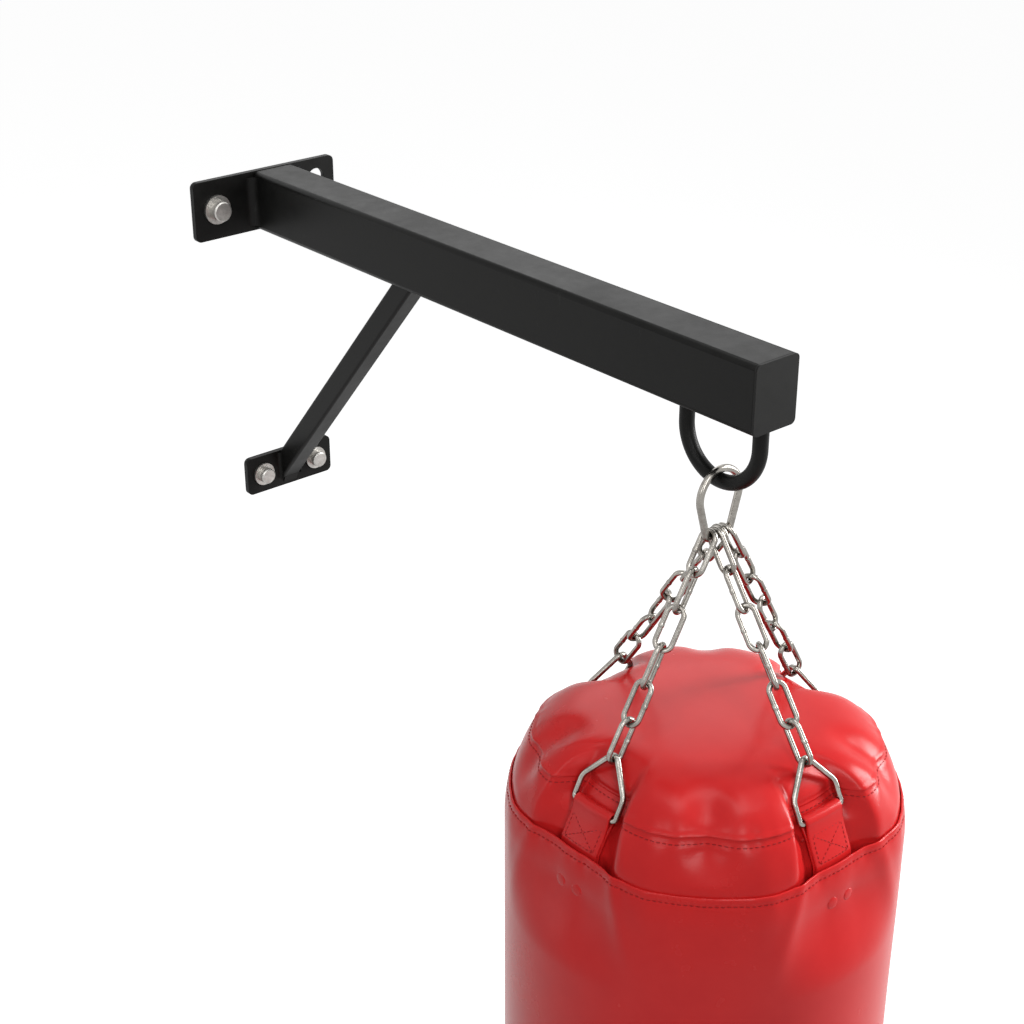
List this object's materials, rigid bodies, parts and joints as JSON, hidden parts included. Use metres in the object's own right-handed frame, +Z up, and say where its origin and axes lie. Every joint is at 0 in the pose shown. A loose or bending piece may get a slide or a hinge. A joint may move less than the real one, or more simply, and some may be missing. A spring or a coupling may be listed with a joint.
{
  "type": "wall-mounted punching bag",
  "caption": "Heavy cylindrical punching bag hung by chains from a hook and ring under a braced wall bracket.",
  "frame": {"origin": "on the wall plane, at the back face of the upper plate, level with the beam's middle and in its centre plane", "axes": "+Z up, +Y into the wall, +X to the right for someone facing the wall"},
  "size_m": [0.294, 0.696, 1.285],
  "materials": {
    "black_coat": "black powder coat, satin, fine grained",
    "cap_plastic": "black moulded plastic",
    "zinc_plate": "dull warm zinc plating",
    "chain_steel": "bright zinc plating on steel wire",
    "red_vinyl": "glossy red vinyl with a fine grain",
    "base_vinyl": "glossy red vinyl with a fine grain",
    "rivet_paint": "red painted rivet heads",
    "foam": "dark grey foam sheet",
    "textile": "packed mixed textile"
  },
  "bodies": {
    "bracket": {"upper_wall_plate": "black_coat", "lower_wall_plate": "black_coat", "beam_tube": "black_coat", "beam_end_cap": "cap_plastic", "brace_tube": "black_coat", "beam_welds": "black_coat", "brace_foot_welds": "black_coat", "brace_head_welds": "black_coat", "u_hook": "black_coat", "hook_welds": "black_coat", "upper_anchor_bolt": "zinc_plate", "upper_washer": "zinc_plate", "lower_anchor_bolts": "zinc_plate", "lower_washers": "zinc_plate"},
    "ring": {"hanger_ring": "chain_steel"},
    "bag": {"front_chain": "chain_steel", "right_chain": "chain_steel", "back_chain": "chain_steel", "left_chain": "chain_steel", "front_d_ring": "chain_steel", "right_d_ring": "chain_steel", "back_d_ring": "chain_steel", "left_d_ring": "chain_steel", "front_strap": "red_vinyl", "right_strap": "red_vinyl", "back_strap": "red_vinyl", "left_strap": "red_vinyl", "strap_rivets": "rivet_paint", "top_panel": "red_vinyl", "shoulder_band": "red_vinyl", "side_panel": "red_vinyl", "bottom_panel": "base_vinyl", "foam_lining": "foam", "filling": "textile"}
  },
  "joints": [
    {"name": "side_swing", "type": "hinge", "parent": "bracket", "child": "ring", "pos_m": [0, -0.537, -0.0765], "axis": [0, 1, 0], "range_deg": [-35, 35]},
    {"name": "fore_aft_swing", "type": "hinge", "parent": "ring", "child": "bag", "pos_m": [0, -0.537, -0.118], "axis": [1, 0, 0], "range_deg": [-40, 20]}
  ]
}
